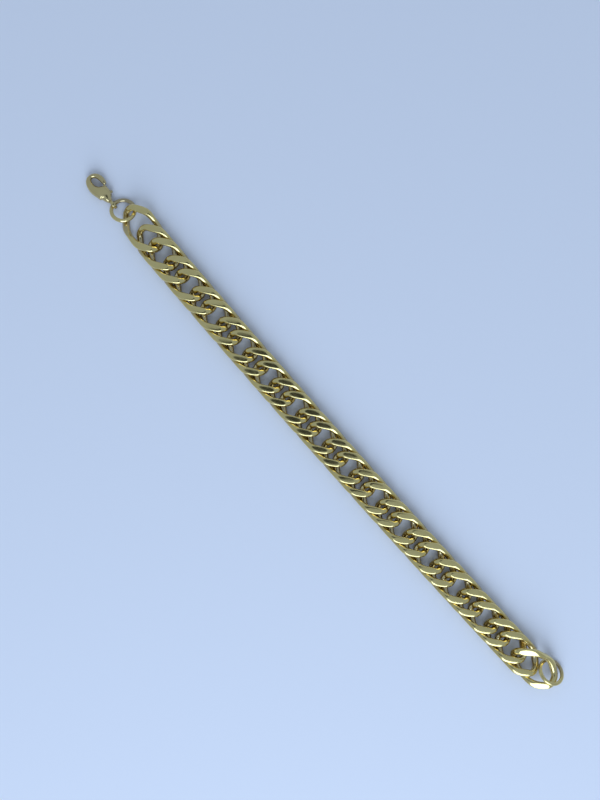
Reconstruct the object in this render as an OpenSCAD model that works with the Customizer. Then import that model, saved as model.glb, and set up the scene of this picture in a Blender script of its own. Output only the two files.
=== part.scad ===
// Link bracelet: a double curb chain, open and laid out straight on a surface.
// Every link is a twisted oval ring that holds the next two links. Millimetres.
// The chain runs along X with the clasp at -X. Z is up, and Z = 0 is the surface.

/* [Chain] */
// Number of links, counted from the clasp
link_count = 30; // [20:2:36]
// Outer length of one link
link_l = 16.4; // [15.2:0.1:17.4]
// Width of one link, across its filed sides
link_w = 10.3; // [9.6:0.1:12]
// Thickness of the link wire
wire_d = 2.0; // [1.6:0.05:2.1]
// Depth ground off the top and the bottom of each link
ground_depth = 0.45; // [0.2:0.05:0.6]
// Depth filed off both sides of each link
side_depth = 0.28; // [0.1:0.02:0.4]
// How much wider the pressed wire gets at a link's shoulders
shoulder_swell = 0.2; // [0:0.02:0.22]
// Gap between the two wires that cross inside a link's end
crossing_gap = 0.4; // [0.3:0.05:0.8]
// Sideways bow of the whole chain, measured at its middle
bow = 1.1; // [0:0.1:2.5]

/* [Rings] */
// Outer diameter of the ring between clasp and chain
clasp_ring_d = 8.1; // [7.8:0.05:8.3]
// Wire thickness of the clasp ring
clasp_ring_wire = 1.15; // [0.9:0.05:1.2]
// Outer diameter of the ring at the far end, which the clasp hooks into
end_ring_d = 8.4; // [8.2:0.05:8.6]
// Wire thickness of the end ring
end_ring_wire = 1.1; // [0.9:0.05:1.15]

/* [Clasp] */
// Length of the clasp from its eye's middle to the far side of its hook
hook_l = 11.1; // [10.6:0.1:13]
// Width of the clasp across hook and body
clasp_w = 5.9; // [5.4:0.1:6.6]
// Thickness of the clasp body
clasp_t = 3.0; // [2.9:0.05:3.4]
// Hole through the clasp's eye
eye_hole_d = 2.0; // [1.9:0.05:2.2]
// Wall of the eye
eye_wall = 0.5; // [0.4:0.05:0.7]
// Width of the eye's band
eye_band = 1.0; // [0.8:0.1:1.2]
// Thickness of the lever
lever_t = 1.1; // [0.9:0.05:1.3]
// Width of the lever's arm
lever_arm_w = 0.95; // [0.8:0.05:1.1]
// Diameter of the pin that the lever turns on
pin_d = 0.7; // [0.5:0.05:0.8]
// Clearance between the lever and the slot that holds it
slot_gap = 0.12; // [0.08:0.02:0.2]
// Clearance round the pin, on the radius
pin_gap = 0.04; // [0.02:0.01:0.08]

/* [Hidden] */
// Rounds of the exact surfaces
$fn = 48;
gold = [0.80, 0.68, 0.34];
pale_gold = [0.86, 0.76, 0.44];
// Stations along a link's wire, and sides of that wire
link_stations = 24;
wire_sides = 6;
// Sides of the clasp body's sections
clasp_sides = 12;

// A link's middle line: half length, half width, and how high its runs stand over the middle plane
mid_l = (link_l - wire_d) / 2;
mid_w = (link_w - wire_d) / 2 + side_depth;
rise = 0.785 * wire_d;
// How far the middle line pinches between a link's shoulders and its tips
pinch = 1.45;
// How the wire changes level: its lead at sides and tips in degrees, its ease, and its peaks' share
swap_lead = 10.4;
swap_ease = 0.71;
peak_share = 0.337;
// The ground faces lie this far above and below the middle plane
half_t = rise + wire_d / 2 - ground_depth;

// Links come in pairs. A pair's second link and the next pair's first lie this far apart, and just clear.
pair_step = 0.635 * mid_l + 0.285 * wire_d;
pair_pitch = 2 * mid_l - wire_d - crossing_gap;
row_l = pair_pitch * (link_count / 2 - 1) + pair_pitch - pair_step;

// How the two end links lie: [shift along, shift across, lift, roll, tilt, turn].
// The last link is propped up and rolled by the end ring's wire under it.
first_lay = [-0.29, 0.3, 0, 0, 0, -4.5];
last_lift = 0.0435 * mid_l + 0.06 * link_w;
last_lay = [-0.816, 0.785, last_lift, 15.87, 3.086, 8.225];
plain_lay = [0, 0, 0, 0, 0, 0];

// A ring leans until its low side almost meets the surface
ring_floor_gap = 0.07;
function ring_lean(r, wire, height) = asin((height - ring_floor_gap - wire / 2) / r);
// The clasp's eye stands clear of the surface, and the ring's middle is between it and the links' middle
eye_r = eye_hole_d / 2 + eye_wall;
eye_height = max(clasp_t / 2, eye_r);
clasp_ring_r = (clasp_ring_d - clasp_ring_wire) / 2;
clasp_ring_height = (eye_height + half_t) / 2 + 0.06;
clasp_ring_lean = ring_lean(clasp_ring_r, clasp_ring_wire, clasp_ring_height);
// How a ring lies, from its link's middle: [along, across, height over the surface, tilt, turn]
clasp_ring_lay = [-mid_l - 0.92, -0.64, clasp_ring_height, -clasp_ring_lean, 39.6];
// The end ring's wire runs under one side of the last link and over the other, clear of the link before it
end_ring_r = (end_ring_d - end_ring_wire) / 2;
end_ring_hang = 2.55;
end_ring_room = 3.3;
link_before_tip = mid_l + wire_d / 2 - (pair_pitch - pair_step);
end_ring_along = max(mid_l - end_ring_hang, link_before_tip + end_ring_room);
end_ring_height = half_t + 0.758;
end_ring_lean = ring_lean(end_ring_r, end_ring_wire, end_ring_height);
end_ring_lay = [end_ring_along, 2.619, end_ring_height, -end_ring_lean, 14.56];

// Plan position and direction of a link in the bowed row, before its own lay
function row_x(i) =
    pair_pitch * floor((i - 1) / 2) + (i % 2 == 0 ? pair_pitch - pair_step : 0) - row_l / 2;
function row_y(i) = -bow * (1 - pow(2 * row_x(i) / row_l, 2));
function row_turn(i) = atan(8 * bow * row_x(i) / pow(row_l, 2));
function lay(i) = i == 1 ? first_lay : (i == link_count ? last_lay : plain_lay);
function link_place(i) = [row_x(i) + lay(i)[0], row_y(i) + lay(i)[1], half_t + lay(i)[2]];
function link_angles(i) = [lay(i)[3], lay(i)[4], row_turn(i) + lay(i)[5]];

// Turns a point by roll, by tilt and by turn, the same way as rotate() does
function rolled(p, a) = [p[0], p[1] * cos(a) - p[2] * sin(a), p[1] * sin(a) + p[2] * cos(a)];
function tilted(p, a) = [p[0] * cos(a) + p[2] * sin(a), p[1], p[2] * cos(a) - p[0] * sin(a)];
function turned(p, a) = [p[0] * cos(a) - p[1] * sin(a), p[0] * sin(a) + p[1] * cos(a), p[2]];

// The middle line of a link's wire at angle t
function level_swap(t) = sin(2 * t + swap_lead * sin(4 * t));
function eased(s) = s * sqrt((1 + pow(swap_ease, 2)) / (pow(s, 2) + pow(swap_ease, 2)));
function run_z(s) = -rise * ((1 - peak_share) * eased(s) + peak_share * pow(s, 5));
function run(t) = [
    mid_l * cos(t),
    mid_w * sin(t) * (1 - pinch * pow(cos(t), 4) * pow(sin(t), 2)),
    run_z(level_swap(t))
];
function unit(v) = v / norm(v);
function clamp(value, limit) = max(-limit, min(limit, value));
function ground(p) = [p[0], clamp(p[1], link_w / 2), clamp(p[2], half_t)];
// The swell grows on the outer side alone, from none at sides and tips to its full size at the shoulders
swell_peak = 4 / sqrt(27);
function swell(t) = shoulder_swell * pow(sin(2 * t) * sin(t) / swell_peak, 2);

function outward_r(t, a) = wire_d / 2 + (cos(a) < 0 ? swell(t) : 0);

// One section of the wire: its sides stay level, so the ground faces come out flat
function section(t) =
    let (along = unit(run(t + 0.5) - run(t - 0.5)))
    let (side = unit(cross([0, 0, 1], along)))
    let (up = cross(along, side))
    [for (k = [0 : wire_sides - 1])
        let (a = 360 * k / wire_sides)
        ground(run(t) + outward_r(t, a) * cos(a) * side + wire_d / 2 * sin(a) * up)];
link_points = [for (j = [0 : link_stations - 1]) each section(360 * j / link_stations)];

// The faces of a tube that closes on itself, two triangles for each side of each stretch
function loop_faces(stations, sides) = [
    for (j = [0 : stations - 1], k = [0 : sides - 1])
        let (a = j * sides + k)
        let (b = j * sides + (k + 1) % sides)
        let (c = ((j + 1) % stations) * sides + k)
        let (d = ((j + 1) % stations) * sides + (k + 1) % sides)
        each [[a, d, b], [a, c, d]]
];

// Middle of each ring, and of the clasp's eye, in the row's frame
function ring_at(link, lay) = [link[0] + lay[0], link[1] + lay[1], lay[2]];
clasp_ring_at = ring_at(link_place(1), clasp_ring_lay);
end_ring_at = ring_at(link_place(link_count), end_ring_lay);
// The clasp lies on the surface, with its eye's band round the ring's wire
eye_angle = 197;
eye_slack = 0.07;
clasp_at = [
    clasp_ring_at[0] + clasp_ring_r * cos(eye_angle) - eye_slack,
    clasp_ring_at[1] + clasp_ring_r * sin(eye_angle),
    eye_height
];

// Sections of the clasp from the hook's tip round to the neck, as shares of hook_l, clasp_w, clasp_w, clasp_t:
// [along from the eye, across, half width, half height]
clasp_sections = [
    [-0.585, 0.385, 0.100, 0.20],
    [-0.640, 0.400, 0.125, 0.25],
    [-0.740, 0.400, 0.135, 0.29],
    [-0.845, 0.345, 0.130, 0.30],
    [-0.920, 0.220, 0.115, 0.31],
    [-0.948, 0.060, 0.108, 0.32],
    [-0.927, -0.085, 0.125, 0.35],
    [-0.850, -0.200, 0.155, 0.39],
    [-0.740, -0.245, 0.190, 0.43],
    [-0.630, -0.235, 0.225, 0.47],
    [-0.515, -0.150, 0.285, 0.50],
    [-0.400, -0.010, 0.385, 0.50],
    [-0.300, 0.020, 0.330, 0.46],
    [-0.205, -0.010, 0.210, 0.38],
    [-0.108, -0.010, 0.120, 0.26]
];
function clasp_xy(j) = [clasp_sections[j][0] * hook_l, clasp_sections[j][1] * clasp_w, 0];
clasp_last = len(clasp_sections) - 1;
function clasp_along(j) = unit(clasp_xy(min(j + 1, clasp_last)) - clasp_xy(max(j - 1, 0)));
function clasp_section(j) =
    let (side = cross([0, 0, 1], clasp_along(j)))
    [for (k = [0 : clasp_sides - 1])
        let (a = 360 * (k + 0.5) / clasp_sides)
        clasp_xy(j) + clasp_sections[j][2] * clasp_w * cos(a) * side
            + [0, 0, clasp_sections[j][3] * clasp_t * sin(a) / sin(90 - 180 / clasp_sides)]];
clasp_points = [for (j = [0 : clasp_last]) each clasp_section(j)];
clasp_end = clasp_last * clasp_sides;
clasp_faces = concat(
    [for (k = [1 : clasp_sides - 2]) [0, k, k + 1]],
    [for (j = [0 : clasp_last - 1], k = [0 : clasp_sides - 1])
        let (a = j * clasp_sides + k)
        let (b = j * clasp_sides + (k + 1) % clasp_sides)
        each [[a, b + clasp_sides, b], [a, a + clasp_sides, b + clasp_sides]]],
    [for (k = [1 : clasp_sides - 2]) [clasp_end, clasp_end + k + 1, clasp_end + k]]
);

// The lever, from the eye's middle: its pin, its arm's bend and its tip
pin_at = [-0.300 * hook_l, 0.010 * clasp_w];
arm_bend_at = [-0.385 * hook_l, 0.270 * clasp_w];
arm_tip_at = [-0.530 * hook_l, 0.300 * clasp_w];
nub_at = [-0.285 * hook_l, 0.375 * clasp_w];
lever_root_wall = 0.42;
lever_root_r = pin_d / 2 + lever_root_wall;
lever_tip_w = 0.7 * lever_arm_w;
nub_root_r = 0.8 * lever_root_r;
nub_r = 0.3;
pin_hole_r = pin_d / 2 + pin_gap;
pin_l = 0.8 * clasp_t;
slot_h = lever_t + 2 * slot_gap;
slot_depth = lever_root_r + slot_gap;
slot_from_x = -0.545 * hook_l;
// The pressed-in arm sinks into this notch in the body's inner edge, below the hook's tip
notch_from_x = -0.62 * hook_l;
notch_top_y = 0.25 * clasp_w;
// Sides of the lever's round ends, and of the rings' wire
lever_sides = 32;
ring_wire_sides = 24;

// The whole part's box in plan, so that its middle is the origin
function placed_link(i) = [
    for (p = link_points)
        let (a = link_angles(i))
        link_place(i) + turned(tilted(rolled(p, a[0]), a[1]), a[2])
];
all_link_points = [for (i = [1 : link_count]) each placed_link(i)];
// Half of a tilted ring's reach across and along the chain
function ring_reach_y(r, wire, lay) =
    r * sqrt(pow(sin(lay[4]), 2) + pow(cos(lay[4]) * cos(lay[3]), 2)) + wire / 2;
function ring_reach_x(r, wire, lay) =
    r * sqrt(pow(cos(lay[4]), 2) + pow(sin(lay[4]) * cos(lay[3]), 2)) + wire / 2;
left_x = clasp_at[0] + min([for (p = clasp_points) p[0]]);
right_x = max(
    max([for (p = all_link_points) p[0]]),
    end_ring_at[0] + ring_reach_x(end_ring_r, end_ring_wire, end_ring_lay)
);
low_y = min(
    min([for (p = all_link_points) p[1]]),
    clasp_at[1] + min([for (p = clasp_points) p[1]])
);
high_y = max(
    max([for (p = all_link_points) p[1]]),
    end_ring_at[1] + ring_reach_y(end_ring_r, end_ring_wire, end_ring_lay)
);
origin_at = [(left_x + right_x) / 2, (low_y + high_y) / 2, 0];

function two_digits(i) = i < 10 ? str("0", i) : str(i);
function link_name(i) = str("link_", two_digits(i));

// One twisted link with ground faces
module link(i) {
    color(gold)
    translate(link_place(i) - origin_at)
    rotate(link_angles(i))
    polyhedron(points = link_points, faces = loop_faces(link_stations, wire_sides));
}

// A round ring of wire, tilted and turned as it lies
module wire_ring(r, wire, at, angles) {
    translate(at - origin_at)
    rotate([angles[3], 0, angles[4]])
    rotate_extrude()
    translate([r, 0])
    circle(d = wire, $fn = ring_wire_sides);
}

module clasp_ring() {
    color(gold)
    wire_ring(clasp_ring_r, clasp_ring_wire, clasp_ring_at, clasp_ring_lay);
}

module end_ring() {
    color(gold)
    wire_ring(end_ring_r, end_ring_wire, end_ring_at, end_ring_lay);
}

// The eye's band, a short tube across the clasp with eased edges
module clasp_eye() {
    ease = 0.15;
    inner = eye_hole_d / 2;
    rotate([90, 0, 0])
    rotate_extrude()
    polygon([
        [inner, -eye_band / 2 + ease],
        [inner + ease, -eye_band / 2],
        [eye_r - ease, -eye_band / 2],
        [eye_r, -eye_band / 2 + ease],
        [eye_r, eye_band / 2 - ease],
        [eye_r - ease, eye_band / 2],
        [inner + ease, eye_band / 2],
        [inner, eye_band / 2 - ease]
    ]);
}

// The slot for the lever, open towards the hook's mouth
module lever_slot() {
    translate([slot_from_x, pin_at[1] - slot_depth, -slot_h / 2])
    cube([pin_at[0] + slot_depth - slot_from_x, clasp_w, slot_h]);
    translate([notch_from_x, pin_at[1] - slot_depth, -slot_h / 2])
    cube([pin_at[0] - notch_from_x, notch_top_y - pin_at[1] + slot_depth, slot_h]);
}

// Hook, body and eye in one piece, with the pin for the lever riveted through it
module clasp_body() {
    color(pale_gold)
    translate(clasp_at - origin_at) {
        difference() {
            union() {
                polyhedron(points = clasp_points, faces = clasp_faces);
                clasp_eye();
            }
            lever_slot();
            rotate([90, 0, 0])
            cylinder(r = eye_hole_d / 2, h = 2 * eye_band, center = true);
        }
        translate([pin_at[0], pin_at[1], 0])
        cylinder(d = pin_d, h = pin_l, center = true);
    }
}

// The sprung lever that closes the hook's mouth
module clasp_lever() {
    color(gold)
    translate(clasp_at - origin_at)
    translate([0, 0, -lever_t / 2])
    difference() {
        linear_extrude(lever_t)
        union() {
            hull() {
                translate(pin_at)
                circle(r = lever_root_r, $fn = lever_sides);
                translate(arm_bend_at)
                circle(d = lever_arm_w, $fn = lever_sides);
            }
            hull() {
                translate(arm_bend_at)
                circle(d = lever_arm_w, $fn = lever_sides);
                translate(arm_tip_at)
                circle(d = lever_tip_w, $fn = lever_sides);
            }
            hull() {
                translate(pin_at)
                circle(r = nub_root_r, $fn = lever_sides);
                translate(nub_at)
                circle(r = nub_r, $fn = lever_sides);
            }
        }
        translate([pin_at[0], pin_at[1], -lever_t])
        cylinder(r = pin_hole_r, h = 3 * lever_t);
    }
}

for (i = [1 : link_count]) {
    link(i);
}
clasp_ring();
end_ring();
clasp_body();
clasp_lever();
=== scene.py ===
"""Looks of a gold-tone double curb bracelet that lies open and straight on a pale blue surface.

Each sub-assembly is a class: the chain of twisted links, the two jump rings, the clasp's body and its
lever. Sizes are in millimetres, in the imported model's frame, and each mesh is written in metres.
"""

import logging
import math
from dataclasses import dataclass
from enum import Enum

import bmesh
import bpy
from mathutils import Matrix, Vector


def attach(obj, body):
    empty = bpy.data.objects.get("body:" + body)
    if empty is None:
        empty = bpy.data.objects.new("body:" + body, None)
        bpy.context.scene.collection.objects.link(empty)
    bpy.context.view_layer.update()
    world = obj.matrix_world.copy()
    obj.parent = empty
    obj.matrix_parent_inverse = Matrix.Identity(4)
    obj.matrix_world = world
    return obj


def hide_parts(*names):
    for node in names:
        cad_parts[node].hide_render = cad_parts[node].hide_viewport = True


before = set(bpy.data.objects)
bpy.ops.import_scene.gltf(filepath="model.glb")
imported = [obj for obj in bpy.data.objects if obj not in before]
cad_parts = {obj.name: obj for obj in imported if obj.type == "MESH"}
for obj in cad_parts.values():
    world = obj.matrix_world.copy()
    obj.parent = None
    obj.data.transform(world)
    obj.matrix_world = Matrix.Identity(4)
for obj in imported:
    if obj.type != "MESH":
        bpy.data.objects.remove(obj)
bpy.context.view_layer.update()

LOG = logging.getLogger("bracelet")
MM = 0.001
BRACELET_BODY = "bracelet"
LEVER_BODY = "lever"
LINK_COUNT = 30
LINKS_PER_PIECE = 10


class Slot(Enum):
    """The record's material slots."""

    LINK = "link_metal"
    RING = "ring_metal"
    CLASP = "clasp_metal"
    LEVER = "lever_metal"


def baked_mesh(piece: bpy.types.Object, name: str) -> bpy.types.Mesh:
    """Turns an object with its modifiers into a plain mesh.

    Args:
        piece: The object whose modifiers are evaluated.
        name: The new mesh's name.

    Returns:
        The evaluated mesh, which no longer depends on the modifiers.
    """
    bpy.context.view_layer.update()
    graph = bpy.context.evaluated_depsgraph_get()
    mesh = bpy.data.meshes.new_from_object(piece.evaluated_get(graph), depsgraph=graph)
    mesh.name = name
    return mesh


def soft_limit(value: float, limit: float, width: float) -> float:
    """Holds a value between minus and plus a limit, with a rounded bend on the way.

    Args:
        value: The value.
        limit: The limit on both sides.
        width: How far from the limit the bend starts.

    Returns:
        The limited value.
    """
    size = abs(value)
    overlap = max(width - abs(size - limit), 0.0) / width
    return math.copysign(min(size, limit) - overlap**2 * width / 4, value)


def new_piece(name: str, mesh: bpy.types.Mesh) -> bpy.types.Object:
    """Makes an object at the origin for a finished mesh.

    Args:
        name: The piece's name.
        mesh: Its mesh, already in the model's frame.

    Returns:
        The new object, linked to the scene.
    """
    piece = bpy.data.objects.new(name, mesh)
    bpy.context.scene.collection.objects.link(piece)
    return piece


def add_remesh(piece: bpy.types.Object, voxel: float) -> None:
    """Adds a voxel remesh to an object.

    Args:
        piece: The object.
        voxel: The voxels' size, in the mesh's own unit.
    """
    remesh = piece.modifiers.new("remesh", "REMESH")
    remesh.mode = "VOXEL"
    remesh.voxel_size = voxel


def add_smooth(piece: bpy.types.Object, iterations: int) -> None:
    """Adds a light smoothing, which takes off the voxels' steps and rounds sharp rims.

    Args:
        piece: The object.
        iterations: How often each point moves half way to its neighbours' middle.
    """
    smooth = piece.modifiers.new("smooth", "SMOOTH")
    smooth.factor = 0.5
    smooth.iterations = iterations


class NodeTree:
    """A Geometry Nodes tree under construction, with short calls for what this file builds."""

    def __init__(self, name: str) -> None:
        """Starts an empty tree.

        Args:
            name: The tree's name.
        """
        self.tree = bpy.data.node_groups.new(name, "GeometryNodeTree")
        self.tree.interface.new_socket("Geometry", in_out="OUTPUT", socket_type="NodeSocketGeometry")
        self.inputs = self.tree.nodes.new("NodeGroupInput")
        self.result = self.tree.nodes.new("NodeGroupOutput")
        self.identifiers: dict[str, str] = {}

    def socket(self, name: str, kind: str) -> bpy.types.NodeSocket:
        """Adds a named input to the tree.

        Args:
            name: The input's name, as it shows on the modifier.
            kind: Float, Int, Vector, Object or Material.

        Returns:
            The socket on the group's input node.
        """
        item = self.tree.interface.new_socket(name, in_out="INPUT", socket_type=f"NodeSocket{kind}")
        self.identifiers[name] = item.identifier
        return self.inputs.outputs[name]

    def node(self, kind: str, **settings: object) -> bpy.types.Node:
        """Adds a node.

        Args:
            kind: The node's type, without its GeometryNode prefix, or a full name.
            settings: Properties to set on it.

        Returns:
            The node.
        """
        full = kind if kind.startswith(("Shader", "Function", "Geometry")) else f"GeometryNode{kind}"
        made = self.tree.nodes.new(full)
        for key, value in settings.items():
            setattr(made, key, value)
        return made

    def feed(self, made: bpy.types.Node, **values: object) -> bpy.types.Node:
        """Links or sets inputs of a node, each named with underscores for spaces.

        Args:
            made: The node.
            values: A socket to link, or a value to set, for each input.

        Returns:
            The same node.
        """
        for key, value in values.items():
            into = made.inputs[key.replace("_", " ")]
            if isinstance(value, bpy.types.NodeSocket):
                self.tree.links.new(value, into)
            else:
                into.default_value = value
        return made

    def math(self, operation: str, *values: object) -> bpy.types.NodeSocket:
        """Adds a Math node.

        Args:
            operation: The operation's name, such as MULTIPLY.
            values: Sockets or numbers, one for each input.

        Returns:
            The node's result.
        """
        made = self.node("ShaderNodeMath", operation=operation)
        for slot, value in zip(made.inputs, values):
            if isinstance(value, bpy.types.NodeSocket):
                self.tree.links.new(value, slot)
            else:
                slot.default_value = value
        return made.outputs[0]

    def times(self, *values: object) -> bpy.types.NodeSocket:
        """Multiplies sockets and numbers together."""
        product = values[0]
        for value in values[1:]:
            product = self.math("MULTIPLY", product, value)
        return product

    def total(self, *values: object) -> bpy.types.NodeSocket:
        """Adds sockets and numbers together."""
        added = values[0]
        for value in values[1:]:
            added = self.math("ADD", added, value)
        return added

    def vector(self, x: object = 0.0, y: object = 0.0, z: object = 0.0) -> bpy.types.NodeSocket:
        """Joins three sockets or numbers into a vector."""
        return self.feed(self.node("ShaderNodeCombineXYZ"), X=x, Y=y, Z=z).outputs[0]

    def finish(self, geometry: bpy.types.NodeSocket, material: bpy.types.NodeSocket) -> None:
        """Ends the tree in Realize Instances and Set Material.

        Args:
            geometry: What the tree has made.
            material: The material input.
        """
        real = self.feed(self.node("RealizeInstances"), Geometry=geometry)
        dressed = self.feed(self.node("SetMaterial"), Geometry=real.outputs[0], Material=material)
        self.tree.links.new(dressed.outputs[0], self.result.inputs[0])

    def run(self, name: str, values: dict[str, object]) -> bpy.types.Mesh:
        """Evaluates the tree once and keeps its result as a plain mesh.

        Args:
            name: The name of the mesh.
            values: A value for each named input.

        Returns:
            The mesh.
        """
        carrier = new_piece(f"{name}_carrier", bpy.data.meshes.new(f"{name}_carrier"))
        modifier = carrier.modifiers.new("nodes", "NODES")
        modifier.node_group = self.tree
        for key, value in values.items():
            modifier[self.identifiers[key]] = value
        mesh = baked_mesh(carrier, name)
        carrier.modifiers.remove(modifier)
        bpy.data.objects.remove(carrier)
        return mesh


@dataclass(frozen=True)
class GoldFinish:
    """Gold-tone plating over brass, polished, with soft tone changes and fine rubs.

    Scales count features in a metre, and the two heights of the low colour and bump_distance are in metres.
    The metal takes a browner, darker colour below the first height and is free of it above the second one:
    painted shade between the links, with some grime.
    """

    name: str
    colour: tuple[float, float, float]
    worn_colour: tuple[float, float, float]
    roughness: float
    rub_roughness: float
    # Painted shade with some grime: the darker, browner colour of the metal's low parts between the links.
    grime_and_shade_colour: tuple[float, float, float] = (0.46, 0.36, 0.20)
    grime_and_shade_heights: tuple[float, float] = (0.0009, 0.0034)
    tone_scale: float = 260.0
    tone_detail: float = 5.0
    tone_range: tuple[float, float] = (0.35, 0.75)
    rub_scale: float = 900.0
    rub_detail: float = 6.0
    rub_grain: float = 0.65
    rub_range: tuple[float, float] = (0.4, 0.8)
    rub_stretch: float = 0.12
    rub_turn_deg: float = 35.0
    bump: float = 0.05
    ripple: float = 0.12
    ripple_scale: float = 420.0
    ripple_detail: float = 2.0
    bump_distance: float = 0.00004

    def build(self) -> bpy.types.Material:
        """Builds the node material, or gives the one that is there already.

        Returns:
            A material that reads Object coordinates alone.
        """
        made = bpy.data.materials.get(self.name)
        if made:
            return made
        material = bpy.data.materials.new(self.name)
        material.use_nodes = True
        tree = material.node_tree
        shader = tree.nodes["Principled BSDF"]
        shader.inputs["Metallic"].default_value = 1.0
        place = tree.nodes.new("ShaderNodeTexCoord").outputs["Object"]
        rub = self.rub_noise(tree, place)
        tree.links.new(self.metal_colour(tree, place), shader.inputs["Base Color"])
        tree.links.new(self.rubbed_roughness(tree, rub), shader.inputs["Roughness"])
        tree.links.new(self.surface_normal(tree, place, rub), shader.inputs["Normal"])
        return material

    def metal_colour(self, tree: bpy.types.NodeTree, place: bpy.types.NodeSocket) -> bpy.types.NodeSocket:
        """Makes the plating's colour, worn in soft patches, and darker and browner low down from painted
        shade and some grime between the links.

        Args:
            tree: The material's nodes.
            place: The Object coordinates.

        Returns:
            The colour.
        """
        tone = self.noise(tree, place, self.tone_scale, self.tone_detail)
        worn = self.span(tree, tone.outputs["Fac"], self.tone_range)
        plating = self.mix(tree, worn.outputs["Result"])
        plating.inputs["A"].default_value = (*self.colour, 1.0)
        plating.inputs["B"].default_value = (*self.worn_colour, 1.0)
        # Painted shade with some grime: the metal turns darker and browner towards its low parts, between the
        # links.
        split = tree.nodes.new("ShaderNodeSeparateXYZ")
        tree.links.new(place, split.inputs["Vector"])
        height = self.span(tree, split.outputs["Z"], self.grime_and_shade_heights)
        grime_and_shade = self.mix(tree, height.outputs["Result"])
        grime_and_shade.inputs["A"].default_value = (*self.grime_and_shade_colour, 1.0)
        tree.links.new(plating.outputs["Result"], grime_and_shade.inputs["B"])
        return grime_and_shade.outputs["Result"]

    def rub_noise(self, tree: bpy.types.NodeTree, place: bpy.types.NodeSocket) -> bpy.types.NodeSocket:
        """Makes the noise of the fine rubs, drawn out in one direction.

        Args:
            tree: The material's nodes.
            place: The Object coordinates.

        Returns:
            The noise.
        """
        turned = tree.nodes.new("ShaderNodeMapping")
        turned.inputs["Scale"].default_value = (self.rub_stretch, 1.0, 1.0)
        turned.inputs["Rotation"].default_value = (0.0, 0.0, math.radians(self.rub_turn_deg))
        tree.links.new(place, turned.inputs["Vector"])
        rub = self.noise(tree, turned.outputs["Vector"], self.rub_scale, self.rub_detail)
        rub.inputs["Roughness"].default_value = self.rub_grain
        return rub.outputs["Fac"]

    def rubbed_roughness(self, tree: bpy.types.NodeTree, rub: bpy.types.NodeSocket) -> bpy.types.NodeSocket:
        """Makes the roughness, from polished to rubbed.

        Args:
            tree: The material's nodes.
            rub: The rubs' noise.

        Returns:
            The roughness.
        """
        rough = self.span(tree, rub, self.rub_range)
        rough.inputs["To Min"].default_value = self.roughness
        rough.inputs["To Max"].default_value = self.rub_roughness
        return rough.outputs["Result"]

    def surface_normal(
        self, tree: bpy.types.NodeTree, place: bpy.types.NodeSocket, rub: bpy.types.NodeSocket
    ) -> bpy.types.NodeSocket:
        """Makes the slight ripple of the polished metal, with the rubs on it.

        Args:
            tree: The material's nodes.
            place: The Object coordinates.
            rub: The rubs' noise.

        Returns:
            The normal.
        """
        ripple = self.noise(tree, place, self.ripple_scale, self.ripple_detail)
        rippled = self.bumped(tree, ripple.outputs["Fac"], self.ripple)
        rubbed = self.bumped(tree, rub, self.bump)
        tree.links.new(rippled.outputs["Normal"], rubbed.inputs["Normal"])
        return rubbed.outputs["Normal"]

    def bumped(
        self, tree: bpy.types.NodeTree, height: bpy.types.NodeSocket, strength: float
    ) -> bpy.types.Node:
        """Adds a Bump node.

        Args:
            tree: The material's nodes.
            height: The relief.
            strength: The bump's strength.

        Returns:
            The node.
        """
        made = tree.nodes.new("ShaderNodeBump")
        made.inputs["Strength"].default_value = strength
        made.inputs["Distance"].default_value = self.bump_distance
        tree.links.new(height, made.inputs["Height"])
        return made

    @staticmethod
    def noise(
        tree: bpy.types.NodeTree, place: bpy.types.NodeSocket, scale: float, detail: float
    ) -> bpy.types.Node:
        """Adds a Noise Texture node.

        Args:
            tree: The material's nodes.
            place: The coordinates that it reads.
            scale: Its scale.
            detail: Its detail.

        Returns:
            The node.
        """
        made = tree.nodes.new("ShaderNodeTexNoise")
        made.inputs["Scale"].default_value = scale
        made.inputs["Detail"].default_value = detail
        tree.links.new(place, made.inputs["Vector"])
        return made

    @staticmethod
    def span(
        tree: bpy.types.NodeTree, value: bpy.types.NodeSocket, limits: tuple[float, float]
    ) -> bpy.types.Node:
        """Adds a Map Range node, which spreads a stretch of a value over 0 to 1.

        Args:
            tree: The material's nodes.
            value: The value.
            limits: Where the stretch begins and ends.

        Returns:
            The node.
        """
        made = tree.nodes.new("ShaderNodeMapRange")
        made.inputs["From Min"].default_value = limits[0]
        made.inputs["From Max"].default_value = limits[1]
        tree.links.new(value, made.inputs["Value"])
        return made

    @staticmethod
    def mix(tree: bpy.types.NodeTree, factor: bpy.types.NodeSocket) -> bpy.types.Node:
        """Adds a Mix node for colours.

        Args:
            tree: The material's nodes.
            factor: The share of its second colour.

        Returns:
            The node.
        """
        made = tree.nodes.new("ShaderNodeMix")
        made.data_type = "RGBA"
        tree.links.new(factor, made.inputs["Factor"])
        return made


RING_GOLD = GoldFinish(
    "ring_gold", (0.79, 0.635, 0.265), (0.73, 0.58, 0.235), roughness=0.12, rub_roughness=0.2
)
LINK_GOLD = GoldFinish(
    "link_gold", (0.79, 0.635, 0.26), (0.72, 0.57, 0.22), roughness=0.12, rub_roughness=0.22
)
CLASP_GOLD = GoldFinish(
    "clasp_gold", (0.79, 0.635, 0.27), (0.73, 0.58, 0.24), roughness=0.14, rub_roughness=0.25
)
LEVER_GOLD = GoldFinish(
    "lever_gold", (0.76, 0.60, 0.25), (0.69, 0.54, 0.22), roughness=0.16, rub_roughness=0.28
)


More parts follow.
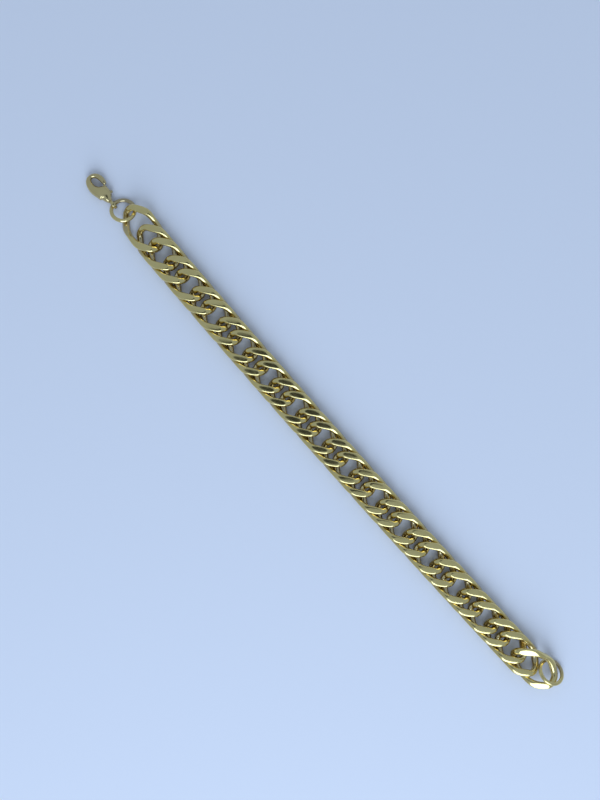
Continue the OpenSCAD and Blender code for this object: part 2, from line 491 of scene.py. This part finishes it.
@dataclass
class CurbChain:
    """A run of twisted links whose tops and bottoms are ground flat, in a double curb weave.

    pinch draws a link's two runs together towards its ends. swap_lead_deg, swap_ease and peak_share shape the
    wire's way from its high places to its low ones. polish and side_polish are the widths of the rounded
    rims, and rim_angles are the section's extra angles there. first_lay and last_lay say how the row's two
    end links lie off their places: along, across and up in millimetres, then the angles about X, Y and Z in
    degrees.
    """

    first_link: int
    count: int
    finish: GoldFinish = LINK_GOLD
    link_l: float = 16.4
    link_w: float = 10.3
    wire_d: float = 2.0
    ground_depth: float = 0.45
    side_depth: float = 0.28
    shoulder_swell: float = 0.2
    crossing_gap: float = 0.4
    bow: float = 1.1
    rise_share: float = 0.785
    step_share: float = 0.635
    step_wire_share: float = 0.285
    pinch: float = 1.45
    swap_lead_deg: float = 10.4
    swap_ease: float = 0.71
    peak_share: float = 0.337
    row_middle: tuple[float, float] = (7.47564, -0.313505)
    first_lay: tuple[float, ...] = (-0.29, 0.3, 0.0, 0.0, 0.0, -4.5)
    last_lay: tuple[float, ...] = (-0.816, 0.785, 0.9312, 15.87, 3.086, 8.225)
    stations: int = 144
    heading_step: float = 0.005
    polish: float = 0.24
    side_polish: float = 0.35
    rim_angles: tuple[float, ...] = (-20.0, -14.0, -9.0, -4.0, 0.0, 5.0, 11.0)
    flat_parts: int = 3
    side_parts: int = 6
    widest_rim: float = 68.0

    @property
    def mid_l(self) -> float:
        """Half the length of a link's middle line."""
        return (self.link_l - self.wire_d) / 2

    @property
    def mid_w(self) -> float:
        """Half the width of a link's middle line."""
        return (self.link_w - self.wire_d) / 2 + self.side_depth

    @property
    def rise(self) -> float:
        """How high the wire's runs stand over the link's middle plane."""
        return self.rise_share * self.wire_d

    @property
    def half_t(self) -> float:
        """Height of the ground faces over the link's middle plane."""
        return self.rise + self.wire_d / 2 - self.ground_depth

    @property
    def pair_step(self) -> float:
        """Distance between a pair's second link and the next pair's first."""
        return self.step_share * self.mid_l + self.step_wire_share * self.wire_d

    @property
    def pair_pitch(self) -> float:
        """Distance from one pair to the next."""
        return 2 * self.mid_l - self.wire_d - self.crossing_gap

    @property
    def row_l(self) -> float:
        """Distance between the first and the last link's middle."""
        return self.pair_pitch * LINK_COUNT / 2 - self.pair_step

    def run(self, turn: float) -> Vector:
        """Gives a point of the wire's middle line.

        Args:
            turn: Angle round the link, in radians.

        Returns:
            The point, in millimetres from the link's middle.
        """
        cosine = math.cos(turn)
        sine = math.sin(turn)
        swap = math.sin(2 * turn + math.radians(self.swap_lead_deg) * math.sin(4 * turn))
        eased = swap * math.sqrt((1 + self.swap_ease**2) / (swap**2 + self.swap_ease**2))
        return Vector((
            self.mid_l * cosine,
            self.mid_w * sine * (1 - self.pinch * cosine**4 * sine**2),
            -self.rise * ((1 - self.peak_share) * eased + self.peak_share * swap**5),
        ))

    def swell(self, turn: float) -> float:
        """Extra reach of the pressed wire on its outer side, largest at the link's shoulders."""
        peak = 4 / math.sqrt(27)
        return self.shoulder_swell * (math.sin(2 * turn) * math.sin(turn) / peak) ** 2

    def section_angles(self, low_rim: float, high_rim: float) -> list[float]:
        """Chooses the angles of one section, close together where the ground faces have their rims.

        Args:
            low_rim: Angle at which the wire meets the lower ground face, below the level.
            high_rim: Angle at which it meets the upper ground face.

        Returns:
            The angles once round, in degrees, from the lower rim on the first side.
        """
        low = [-low_rim - offset for offset in reversed(self.rim_angles)]
        high = [high_rim + offset for offset in self.rim_angles]
        span = high[0] - low[-1]
        side = [low[-1] + span * part / self.side_parts for part in range(1, self.side_parts)]
        half = low + side + high
        mirrored = [180.0 - angle for angle in reversed(half)]
        top_span = mirrored[0] - half[-1]
        top = [half[-1] + top_span * part / self.flat_parts for part in range(1, self.flat_parts)]
        bottom_span = half[0] + 360.0 - mirrored[-1]
        bottom = [mirrored[-1] + bottom_span * part / self.flat_parts for part in range(1, self.flat_parts)]
        return half + top + mirrored + bottom

    def section(self, turn: float) -> list[Vector]:
        """Gives the points of the wire's section at one station.

        Args:
            turn: Angle round the link, in radians.

        Returns:
            The section's points, ground above, below and at the link's side.
        """
        centre = self.run(turn)
        heading = (self.run(turn + self.heading_step) - self.run(turn - self.heading_step)).normalized()
        side = Vector((0.0, 0.0, 1.0)).cross(heading).normalized()
        lift = heading.cross(side)
        wire_r = self.wire_d / 2
        rims = []
        for sign in (-1.0, 1.0):
            reach = (self.half_t - sign * centre.z) / (wire_r * lift.z)
            rims.append(min(self.widest_rim, math.degrees(math.asin(min(1.0, reach)))))
        points = []
        for angle in self.section_angles(*rims):
            cosine = math.cos(math.radians(angle))
            out = (wire_r + (self.swell(turn) if cosine < 0 else 0.0)) * cosine
            spot = centre + side * out + lift * wire_r * math.sin(math.radians(angle))
            spot.y = soft_limit(spot.y, self.link_w / 2, self.side_polish)
            spot.z = soft_limit(spot.z, self.half_t, self.polish)
            points.append(spot * MM)
        return points

    def link_mesh(self) -> bpy.types.Mesh:
        """Builds one link round the origin, as a tube that closes on itself.

        Returns:
            The link's mesh, shaded smooth.
        """
        loops = [self.section(math.tau * station / self.stations) for station in range(self.stations)]
        sides = len(loops[0])
        faces = []
        for station in range(self.stations):
            here = station * sides
            there = (station + 1) % self.stations * sides
            for k in range(sides):
                following = (k + 1) % sides
                faces.append((here + k, here + following, there + following, there + k))
        mesh = bpy.data.meshes.new("curb_link")
        mesh.from_pydata([spot for loop in loops for spot in loop], [], faces)
        mesh.shade_smooth()
        return mesh

    def row_nodes(self, tree: NodeTree, link: bpy.types.NodeSocket) -> bpy.types.NodeSocket:
        """Lays the links out along the slightly bowed row.

        Args:
            tree: The tree under construction.
            link: The mesh of one link.

        Returns:
            The instances, one for each link.
        """
        count = tree.socket("Link Count", "Int")
        first = tree.socket("First Link", "Int")
        total = tree.socket("Links In Row", "Int")
        pitch = tree.socket("Pair Pitch", "Float")
        step = tree.socket("Pair Step", "Float")
        row_l = tree.socket("Row Length", "Float")
        bow = tree.socket("Bow", "Float")
        middle = tree.socket("Row Middle", "Vector")
        first_shift = tree.socket("First Shift", "Vector")
        first_angles = tree.socket("First Angles", "Vector")
        last_shift = tree.socket("Last Shift", "Vector")
        last_angles = tree.socket("Last Angles", "Vector")

        points = tree.feed(tree.node("MeshLine", mode="OFFSET"), Count=count)
        index = tree.total(tree.node("InputIndex").outputs[0], first)
        pair = tree.math("FLOOR", tree.times(index, 0.5))
        second = tree.math("MODULO", index, 2.0)
        along = tree.total(
            tree.times(pair, pitch),
            tree.times(second, tree.math("SUBTRACT", pitch, step)),
            tree.times(row_l, -0.5),
        )
        share = tree.math("DIVIDE", tree.times(along, 2.0), row_l)
        across = tree.times(bow, tree.math("SUBTRACT", tree.math("POWER", share, 2.0), 1.0))
        slope = tree.math("DIVIDE", tree.times(bow, along, 8.0), tree.math("POWER", row_l, 2.0))
        is_first = tree.math("COMPARE", index, 0.0, 0.5)
        is_last = tree.math("COMPARE", index, tree.math("SUBTRACT", total, 1.0), 0.5)
        place = tree.vector(along, across)
        angles = tree.vector(0.0, 0.0, tree.math("ARCTANGENT", slope))
        end_lays = ((is_first, first_shift, first_angles), (is_last, last_shift, last_angles))
        for chosen, shift, turn in end_lays:
            place = self.add_scaled(tree, place, shift, chosen)
            angles = self.add_scaled(tree, angles, turn, chosen)
        place = self.add_scaled(tree, place, middle, 1.0)
        placed = tree.feed(tree.node("SetPosition"), Geometry=points.outputs[0], Position=place)
        rotation = tree.node("FunctionNodeEulerToRotation")
        tree.tree.links.new(angles, rotation.inputs[0])
        copies = tree.node("InstanceOnPoints")
        tree.feed(copies, Points=placed.outputs[0], Instance=link, Rotation=rotation.outputs[0])
        return copies.outputs[0]

    @staticmethod
    def add_scaled(
        tree: NodeTree, base: bpy.types.NodeSocket, extra: bpy.types.NodeSocket, factor: object
    ) -> bpy.types.NodeSocket:
        """Adds a vector times a factor to another vector.

        Args:
            tree: The tree under construction.
            base: The vector to add to.
            extra: The vector that is scaled and added.
            factor: A socket or a number.

        Returns:
            The sum.
        """
        made = tree.node("ShaderNodeVectorMath", operation="MULTIPLY_ADD")
        tree.tree.links.new(extra, made.inputs[0])
        if isinstance(factor, bpy.types.NodeSocket):
            tree.tree.links.new(factor, made.inputs[1])
        else:
            made.inputs[1].default_value = (factor, factor, factor)
        tree.tree.links.new(base, made.inputs[2])
        return made.outputs[0]

    def build(self) -> bpy.types.Object:
        """Builds this run of the chain and lets it stand for its packed links.

        Returns:
            The run's piece.
        """
        name = f"chain_from_{self.first_link:02d}"
        tree = NodeTree("curb_chain")
        link = tree.socket("Link", "Object")
        material = tree.socket("Metal", "Material")
        source = tree.feed(tree.node("ObjectInfo"), Object=link)
        tree.finish(self.row_nodes(tree, source.outputs["Geometry"]), material)
        pattern = new_piece("link_pattern", self.link_mesh())
        first = self.first_lay
        last = self.last_lay
        values = {
            "Link": pattern,
            "Metal": self.finish.build(),
            "Link Count": self.count,
            "First Link": self.first_link - 1,
            "Links In Row": LINK_COUNT,
            "Pair Pitch": self.pair_pitch * MM,
            "Pair Step": self.pair_step * MM,
            "Row Length": self.row_l * MM,
            "Bow": self.bow * MM,
            "Row Middle": (self.row_middle[0] * MM, self.row_middle[1] * MM, self.half_t * MM),
            "First Shift": tuple(value * MM for value in first[:3]),
            "First Angles": tuple(math.radians(value) for value in first[3:]),
            "Last Shift": tuple(value * MM for value in last[:3]),
            "Last Angles": tuple(math.radians(value) for value in last[3:]),
        }
        piece = new_piece(name, tree.run(name, values))
        bpy.data.objects.remove(pattern)
        numbers = range(self.first_link, self.first_link + self.count)
        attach(piece, BRACELET_BODY)
        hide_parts(*[f"link_{number:02d}" for number in numbers])
        return piece


@dataclass
class JumpRing:
    """A soldered ring of round wire, as it leans on the chain."""

    name: str
    node: str
    outer_d: float
    wire_d: float
    middle: tuple[float, float, float]
    tilt_deg: float
    turn_deg: float
    finish: GoldFinish = RING_GOLD
    stations: int = 128
    wire_sides: int = 28

    def build(self) -> bpy.types.Object:
        """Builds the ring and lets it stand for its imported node.

        Returns:
            The ring's piece.
        """
        tree = NodeTree(self.name)
        material = tree.socket("Metal", "Material")
        stations = tree.socket("Stations", "Int")
        sides = tree.socket("Wire Sides", "Int")
        ring_r = tree.socket("Ring Radius", "Float")
        wire_r = tree.socket("Wire Radius", "Float")
        middle = tree.socket("Middle", "Vector")
        angles = tree.socket("Angles", "Vector")
        loop = tree.feed(tree.node("CurvePrimitiveCircle", mode="RADIUS"), Resolution=stations, Radius=ring_r)
        wire = tree.feed(tree.node("CurvePrimitiveCircle", mode="RADIUS"), Resolution=sides, Radius=wire_r)
        tube = tree.feed(tree.node("CurveToMesh"), Curve=loop.outputs[0], Profile_Curve=wire.outputs[0])
        smooth = tree.feed(tree.node("SetShadeSmooth", domain="FACE"), Geometry=tube.outputs[0])
        smooth.inputs["Shade Smooth"].default_value = True
        laid = tree.node("Transform")
        tree.feed(laid, Geometry=smooth.outputs[0], Translation=middle, Rotation=angles)
        tree.finish(laid.outputs[0], material)
        values = {
            "Metal": self.finish.build(),
            "Stations": self.stations,
            "Wire Sides": self.wire_sides,
            "Ring Radius": (self.outer_d - self.wire_d) / 2 * MM,
            "Wire Radius": self.wire_d / 2 * MM,
            "Middle": tuple(value * MM for value in self.middle),
            "Angles": (math.radians(self.tilt_deg), 0.0, math.radians(self.turn_deg)),
        }
        piece = new_piece(self.name, tree.run(self.name, values))
        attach(piece, BRACELET_BODY)
        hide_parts(self.node)
        return piece


@dataclass
class ClaspBody:
    """The lobster clasp's casting: hook, body and eye, with the lever's slot and its riveted pin.

    Each row of sections holds the place along and across, the half width and the half height, as shares of
    hook_l, clasp_w, clasp_w and clasp_t, from the hook's tip to the neck. slot_from and notch_from are
    shares of hook_l, notch_top of clasp_w and pin_l_share of clasp_t. end_caps are the sizes of the tip's
    rounding, from its start, and eye_trim is what the hole's cutter takes off the eye's band.
    """

    eye_at: tuple[float, float, float] = (-91.7565, -1.6695, 1.5)
    hook_l: float = 11.1
    clasp_w: float = 5.9
    clasp_t: float = 3.0
    eye_hole_d: float = 2.0
    eye_wall: float = 0.5
    eye_band: float = 1.0
    lever_t: float = 1.1
    slot_gap: float = 0.12
    pin_d: float = 0.7
    pin_share: tuple[float, float] = (-0.300, 0.010)
    pin_l_share: float = 0.8
    root_wall: float = 0.42
    slot_from: float = -0.545
    notch_from: float = -0.62
    notch_top: float = 0.25
    sections: tuple[tuple[float, float, float, float], ...] = (
        (-0.585, 0.385, 0.100, 0.20),
        (-0.640, 0.400, 0.125, 0.25),
        (-0.740, 0.400, 0.135, 0.29),
        (-0.845, 0.345, 0.130, 0.30),
        (-0.920, 0.220, 0.115, 0.31),
        (-0.948, 0.060, 0.105, 0.32),
        (-0.927, -0.085, 0.125, 0.35),
        (-0.850, -0.200, 0.155, 0.39),
        (-0.740, -0.245, 0.190, 0.43),
        (-0.630, -0.235, 0.225, 0.47),
        (-0.515, -0.150, 0.285, 0.50),
        (-0.400, -0.010, 0.385, 0.50),
        (-0.300, 0.020, 0.330, 0.46),
        (-0.205, -0.010, 0.210, 0.38),
        (-0.108, -0.010, 0.120, 0.26),
    )
    steps: int = 6
    heading_step: float = 0.05
    end_caps: tuple[float, ...] = (0.95, 0.75, 0.45)
    sides: int = 28
    eye_sides: int = 48
    eye_trim: float = 0.02
    pin_sides: int = 32
    squareness: float = 2.3
    voxel: float = 0.07
    smoothing: int = 4
    finish: GoldFinish = CLASP_GOLD

    @property
    def pin_at(self) -> tuple[float, float]:
        """Where the pin stands, in millimetres from the eye."""
        return self.pin_share[0] * self.hook_l, self.pin_share[1] * self.clasp_w

    def row(self, at: float) -> tuple[float, float, float, float]:
        """Reads the section table at a fractional row, on a smooth curve through its rows.

        Args:
            at: The row, from 0 to the last.

        Returns:
            Place along, place across, half width and half height, in millimetres.
        """
        last = len(self.sections) - 1
        start = min(int(at), last - 1)
        share = at - start
        rows = [self.sections[max(0, min(last, start + offset))] for offset in (-1, 0, 1, 2)]
        scales = (self.hook_l, self.clasp_w, self.clasp_w, self.clasp_t)
        values = []
        for column, scale in enumerate(scales):
            a, b, c, d = (entry[column] for entry in rows)
            bend = (
                2 * b
                + (c - a) * share
                + (2 * a - 5 * b + 4 * c - d) * share**2
                + (3 * b - 3 * c + d - a) * share**3
            )
            values.append(bend / 2 * scale)
        return tuple(values)

    def loft(self) -> bmesh.types.BMesh:
        """Lofts the casting's hook and body through its sections, with a rounded tip.

        Returns:
            A closed shell.
        """
        last = len(self.sections) - 1
        rings = []
        for index in range(last * self.steps + 1):
            stop = index / self.steps
            before = self.row(max(0.0, stop - self.heading_step))
            after = self.row(min(last, stop + self.heading_step))
            rings.append((self.row(stop), before, after, 1.0, 0.0))
        for cap in self.end_caps:
            rings.insert(0, (*rings[0][:3], cap, -math.sqrt(1 - cap**2)))
        shell = bmesh.new()
        loops = [self.section_points(shell, *ring) for ring in rings]
        for low, high in zip(loops, loops[1:]):
            for k in range(self.sides):
                following = (k + 1) % self.sides
                shell.faces.new((low[k], low[following], high[following], high[k]))
        shell.faces.new(list(reversed(loops[0])))
        shell.faces.new(loops[-1])
        bmesh.ops.recalc_face_normals(shell, faces=shell.faces)
        return shell

    def section_points(
        self,
        shell: bmesh.types.BMesh,
        here: tuple[float, ...],
        before: tuple[float, ...],
        after: tuple[float, ...],
        scale: float,
        shift: float,
    ) -> list[bmesh.types.BMVert]:
        """Adds the points of one section, a rounded box across the casting's line.

        Args:
            shell: The mesh that they join.
            here: The table's row at this section.
            before: The row a little before it, for the line's direction.
            after: The row a little after it.
            scale: The section's size as a share of the row's.
            shift: How far it stands along the line, in half widths.

        Returns:
            The points, once round.
        """
        x, y, wide, high = here
        heading = Vector((after[0] - before[0], after[1] - before[1], 0.0)).normalized()
        side = Vector((-heading.y, heading.x, 0.0))
        centre = Vector((x, y, 0.0)) + heading * (shift * wide)
        power = 2 / self.squareness
        points = []
        for k in range(self.sides):
            turn = math.tau * k / self.sides
            cosine = math.cos(turn)
            sine = math.sin(turn)
            out = math.copysign(abs(cosine) ** power, cosine) * wide * scale
            up = math.copysign(abs(sine) ** power, sine) * high * scale
            points.append(shell.verts.new(centre + side * out + Vector((0.0, 0.0, up))))
        return points

    def tube(self, shell: bmesh.types.BMesh, inner: float, outer: float, length: float) -> None:
        """Adds the eye's band, a short tube round the Y axis.

        Args:
            shell: The mesh that it joins.
            inner: Radius of the hole.
            outer: Outer radius.
            length: Length along Y.
        """
        profile = ((inner, -0.5), (outer, -0.5), (outer, 0.5), (inner, 0.5))
        loops = []
        for k in range(self.eye_sides):
            turn = math.tau * k / self.eye_sides
            cosine = math.cos(turn)
            sine = math.sin(turn)
            loops.append([shell.verts.new((r * cosine, share * length, r * sine)) for r, share in profile])
        faces = []
        for k, here in enumerate(loops):
            there = loops[(k + 1) % self.eye_sides]
            for j in range(len(profile)):
                following = (j + 1) % len(profile)
                faces.append(shell.faces.new((here[j], here[following], there[following], there[j])))
        bmesh.ops.recalc_face_normals(shell, faces=faces)

    def cutters(self) -> list[bpy.types.Object]:
        """Makes the bodies that are cut away: the eye's hole and the lever's slot.

        Returns:
            Temporary objects, in millimetres round the eye.
        """
        root_r = self.pin_d / 2 + self.root_wall
        depth = root_r + self.slot_gap
        slot_h = self.lever_t + 2 * self.slot_gap
        pin_x, pin_y = self.pin_at
        boxes = (
            ((self.slot_from * self.hook_l, pin_y - depth), (pin_x + depth, self.clasp_w)),
            ((self.notch_from * self.hook_l, pin_y - depth), (pin_x, self.notch_top * self.clasp_w)),
        )
        made = []
        for low, high in boxes:
            shell = bmesh.new()
            bmesh.ops.create_cube(shell, size=1.0)
            size = Vector((high[0] - low[0], high[1] - low[1], slot_h))
            middle = Vector(((low[0] + high[0]) / 2, (low[1] + high[1]) / 2, 0.0))
            shell.transform(Matrix.Translation(middle) @ Matrix.Diagonal((*size, 1.0)))
            made.append(self.scratch_object(shell))
        shell = bmesh.new()
        hole_r = self.eye_hole_d / 2
        bmesh.ops.create_cone(
            shell,
            segments=self.eye_sides,
            radius1=hole_r,
            radius2=hole_r,
            depth=3 * self.eye_band,
            cap_ends=True,
        )
        shell.transform(Matrix.Rotation(math.radians(90.0), 4, "X"))
        made.append(self.scratch_object(shell))
        return made

    @staticmethod
    def scratch_object(shell: bmesh.types.BMesh) -> bpy.types.Object:
        """Puts a shell into a temporary object."""
        mesh = bpy.data.meshes.new("scratch")
        shell.to_mesh(mesh)
        shell.free()
        return new_piece("scratch", mesh)

    def build(self) -> bpy.types.Object:
        """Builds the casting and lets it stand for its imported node.

        Returns:
            The clasp body's piece.
        """
        shell = self.loft()
        hole_r = self.eye_hole_d / 2
        self.tube(shell, hole_r - self.eye_trim, hole_r + self.eye_wall, self.eye_band)
        body = self.scratch_object(shell)
        add_remesh(body, self.voxel)
        cutters = self.cutters()
        for cutter in cutters:
            cut = body.modifiers.new("cut", "BOOLEAN")
            cut.operation = "DIFFERENCE"
            cut.solver = "EXACT"
            cut.object = cutter
        add_remesh(body, self.voxel)
        add_smooth(body, self.smoothing)
        mesh = baked_mesh(body, "clasp_casting")
        for spare in (body, *cutters):
            bpy.data.objects.remove(spare)
        self.add_pin(mesh)
        mesh.transform(Matrix.Diagonal((MM, MM, MM, 1.0)))
        mesh.transform(Matrix.Translation(Vector(self.eye_at) * MM))
        mesh.materials.clear()
        mesh.materials.append(self.finish.build())
        mesh.shade_smooth()
        piece = new_piece("clasp_casting", mesh)
        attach(piece, BRACELET_BODY)
        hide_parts("clasp_body")
        return piece

    def add_pin(self, mesh: bpy.types.Mesh) -> None:
        """Adds the lever's pin, whose ends show as rivet heads.

        Args:
            mesh: The casting, in millimetres round the eye.
        """
        work = bmesh.new()
        work.from_mesh(mesh)
        pin = bmesh.new()
        radius = self.pin_d / 2
        bmesh.ops.create_cone(
            pin,
            segments=self.pin_sides,
            radius1=radius,
            radius2=radius,
            depth=self.pin_l_share * self.clasp_t,
            cap_ends=True,
        )
        pin.transform(Matrix.Translation((*self.pin_at, 0.0)))
        spare = bpy.data.meshes.new("pin")
        pin.to_mesh(spare)
        pin.free()
        work.from_mesh(spare)
        bpy.data.meshes.remove(spare)
        work.to_mesh(mesh)
        work.free()


@dataclass
class ClaspLever:
    """The sprung lever, with its rim rounded by tumbling."""

    voxel: float = 0.055
    smoothing: int = 4
    weld: float = 0.0001
    finish: GoldFinish = LEVER_GOLD

    def build(self) -> bpy.types.Object:
        """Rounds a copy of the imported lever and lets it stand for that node.

        Returns:
            The lever's piece.
        """
        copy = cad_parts["clasp_lever"].data.copy()
        work = bmesh.new()
        work.from_mesh(copy)
        bmesh.ops.remove_doubles(work, verts=work.verts, dist=self.weld * MM)
        work.to_mesh(copy)
        work.free()
        carrier = new_piece("lever_carrier", copy)
        add_remesh(carrier, self.voxel * MM)
        add_smooth(carrier, self.smoothing)
        mesh = baked_mesh(carrier, "lever_stamping")
        bpy.data.objects.remove(carrier)
        mesh.materials.clear()
        mesh.materials.append(self.finish.build())
        mesh.shade_smooth()
        piece = new_piece("lever_stamping", mesh)
        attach(piece, LEVER_BODY)
        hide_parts("clasp_lever")
        return piece


@dataclass
class Studio:
    """The surface, the daylight and the camera at the photograph's angle.

    middle is the point under the camera, and window_away is where the window stands from it. field_h is how
    much of the surface the picture's height takes in, seen from distance.
    """

    middle: tuple[float, float] = (-11.15, 1.13)
    turn_deg: float = 48.3
    field_h: float = 239.7
    distance: float = 320.0
    sensor: float = 36.0
    clip_start: float = 10.0
    floor_half: float = 700.0
    floor_colour: tuple[float, float, float] = (0.84, 0.84, 0.85)
    floor_roughness: float = 0.65
    daylight: tuple[float, float, float] = (0.60, 0.745, 1.0)
    room_strength: float = 0.6
    window_away: tuple[float, float, float] = (445.0, -400.0, 430.0)
    window_size: tuple[float, float] = (500.0, 740.0)
    window_watts: float = 4.4
    card_half: float = 55.0
    card_above: float = 4.0
    card_colour: tuple[float, float, float] = (0.04, 0.04, 0.04)

    def floor(self) -> bpy.types.Object:
        """Builds the plain pale surface.

        Returns:
            The floor.
        """
        half = self.floor_half * MM
        mesh = bpy.data.meshes.new("surface")
        corners = [(-half, -half, 0.0), (half, -half, 0.0), (half, half, 0.0), (-half, half, 0.0)]
        mesh.from_pydata(corners, [], [(0, 1, 2, 3)])
        material = bpy.data.materials.new("pale_surface")
        material.use_nodes = True
        shader = material.node_tree.nodes["Principled BSDF"]
        shader.inputs["Base Color"].default_value = (*self.floor_colour, 1.0)
        shader.inputs["Roughness"].default_value = self.floor_roughness
        mesh.materials.append(material)
        surface = new_piece("surface", mesh)
        return surface

    def camera(self) -> bpy.types.Object:
        """Places the camera straight above the bracelet.

        Returns:
            The scene's camera.
        """
        data = bpy.data.cameras.new("overhead")
        data.sensor_width = self.sensor
        data.lens = self.sensor * self.distance / self.field_h
        data.clip_start = self.clip_start * MM
        data.dof.use_dof = False
        camera = bpy.data.objects.new("overhead", data)
        camera.location = (self.middle[0] * MM, self.middle[1] * MM, self.distance * MM)
        camera.rotation_euler = (0.0, 0.0, math.radians(self.turn_deg))
        bpy.context.scene.collection.objects.link(camera)
        bpy.context.scene.camera = camera
        return camera

    def window(self) -> bpy.types.Object:
        """Hangs the window's soft light, turned to the middle.

        Returns:
            The light.
        """
        data = bpy.data.lights.new("window", "AREA")
        data.shape = "RECTANGLE"
        data.size = self.window_size[0] * MM
        data.size_y = self.window_size[1] * MM
        data.energy = self.window_watts
        data.color = self.daylight
        light = bpy.data.objects.new("window", data)
        target = Vector((self.middle[0], self.middle[1], 0.0)) * MM
        light.location = target + Vector(self.window_away) * MM
        light.rotation_euler = (target - light.location).to_track_quat("-Z", "Y").to_euler()
        bpy.context.scene.collection.objects.link(light)
        return light

    def dark_card(self) -> bpy.types.Object:
        """Hangs a dark card over the camera, which darkens the middle links' ground faces.

        Returns:
            The card, hidden from the camera.
        """
        half = self.card_half * MM
        height = (self.distance + self.card_above) * MM
        mesh = bpy.data.meshes.new("card")
        corners = [(-half, -half, height), (-half, half, height), (half, half, height), (half, -half, height)]
        mesh.from_pydata(corners, [], [(0, 1, 2, 3)])
        mesh.transform(Matrix.Translation((self.middle[0] * MM, self.middle[1] * MM, 0.0)))
        material = bpy.data.materials.new("dark_card")
        material.use_nodes = True
        shader = material.node_tree.nodes["Principled BSDF"]
        shader.inputs["Base Color"].default_value = (*self.card_colour, 1.0)
        mesh.materials.append(material)
        card = new_piece("card", mesh)
        card.visible_camera = False
        return card

    def room(self) -> bpy.types.World:
        """Sets the even daylight of the room.

        Returns:
            The scene's world.
        """
        world = bpy.data.worlds.new("room")
        world.use_nodes = True
        background = world.node_tree.nodes["Background"]
        background.inputs["Color"].default_value = (*self.daylight, 1.0)
        background.inputs["Strength"].default_value = self.room_strength
        bpy.context.scene.world = world
        bpy.context.scene.view_settings.view_transform = "Standard"
        return world

    def build(self) -> None:
        """Builds the whole studio."""
        self.floor()
        self.camera()
        self.window()
        self.dark_card()
        self.room()


def main() -> None:
    """Builds every sub-assembly in order and reports each piece."""
    logging.basicConfig(level=logging.INFO, format="%(name)s: %(message)s")
    Studio().build()
    chain = [CurbChain(first, LINKS_PER_PIECE) for first in range(1, LINK_COUNT + 1, LINKS_PER_PIECE)]
    rings = [
        JumpRing(
            "clasp_jump_ring",
            "clasp_ring",
            outer_d=8.1,
            wire_d=1.15,
            middle=(-88.3634, -0.653505, 1.87),
            tilt_deg=-20.63,
            turn_deg=39.6,
        ),
        JumpRing(
            "end_jump_ring",
            "end_ring",
            outer_d=8.4,
            wire_d=1.1,
            middle=(98.7386, 3.09049, 2.878),
            tilt_deg=-38.22,
            turn_deg=14.56,
        ),
    ]
    assemblies = (*chain, *rings, ClaspBody(), ClaspLever())
    for assembly in assemblies:
        piece = assembly.build()
        LOG.info("%s: %d faces", piece.name, len(piece.data.polygons))


if __name__ == "__main__":
    main()
